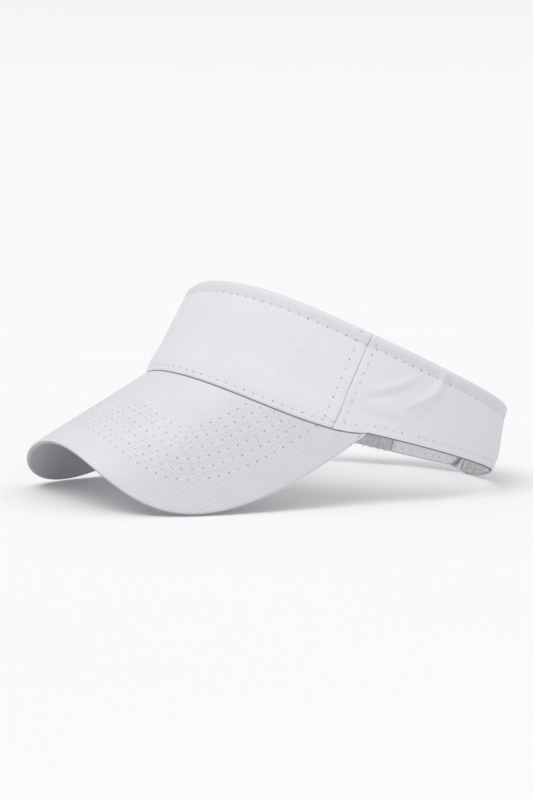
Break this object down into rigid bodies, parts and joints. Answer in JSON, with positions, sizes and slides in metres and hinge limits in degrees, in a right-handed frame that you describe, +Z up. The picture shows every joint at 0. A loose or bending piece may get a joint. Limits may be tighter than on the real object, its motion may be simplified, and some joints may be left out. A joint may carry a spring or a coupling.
{
  "type": "sun visor",
  "caption": "Open-crown cotton twill sun visor with a stiffened front panel, a curved brim and a hook-and-loop back closure.",
  "frame": {"origin": "on the surface that the visor rests on, below the middle of its bounding box", "axes": "+X towards the wearer's left, +Y towards the back, +Z up, with the visor lying on a table as it rests by itself"},
  "size_m": [0.1664, 0.256, 0.1054],
  "materials": {
    "white_twill": "white cotton twill with a fine diagonal weave",
    "buckram": "open stiff white mesh",
    "brim_plastic": "smooth matte white sheet",
    "sweatband_cotton": "soft plain-weave cotton",
    "cotton_tape": "plain woven cotton tape",
    "hook_tape": "white nylon hooks on a woven base",
    "loop_tape": "brushed white nylon loops",
    "label_ribbon": "smooth satin ribbon"
  },
  "bodies": {
    "visor_body": {"front_panel": "white_twill", "front_stiffener": "buckram", "left_side_panel": "white_twill", "right_side_panel_front": "white_twill", "left_seam_tape": "cotton_tape", "right_seam_tape": "cotton_tape", "top_facing": "cotton_tape", "sweatband": "sweatband_cotton", "brim_top_cover": "white_twill", "brim_board": "brim_plastic", "brim_under_cover": "white_twill", "care_label": "label_ribbon"},
    "right_tail": {"right_side_panel": "white_twill", "right_sweatband": "sweatband_cotton", "right_top_facing": "cotton_tape", "right_tail_lining": "white_twill", "loop_patch": "loop_tape"},
    "closure_flap": {"flap_panel": "white_twill", "flap_lining": "white_twill", "hook_patch": "hook_tape"}
  },
  "joints": [
    {"name": "closure_peel", "type": "hinge", "parent": "visor_body", "child": "closure_flap", "pos_m": [0.00242, 0.12582, 0.01831], "axis": [0.001, -0.1239, -0.9923], "range_deg": [0, 110]},
    {"name": "tail_tighten", "type": "hinge", "parent": "visor_body", "child": "right_tail", "pos_m": [-0.07854, 0.01566, 0.05295], "axis": [-0.0265, -0.4444, -0.8954], "range_deg": [0, 8]}
  ]
}
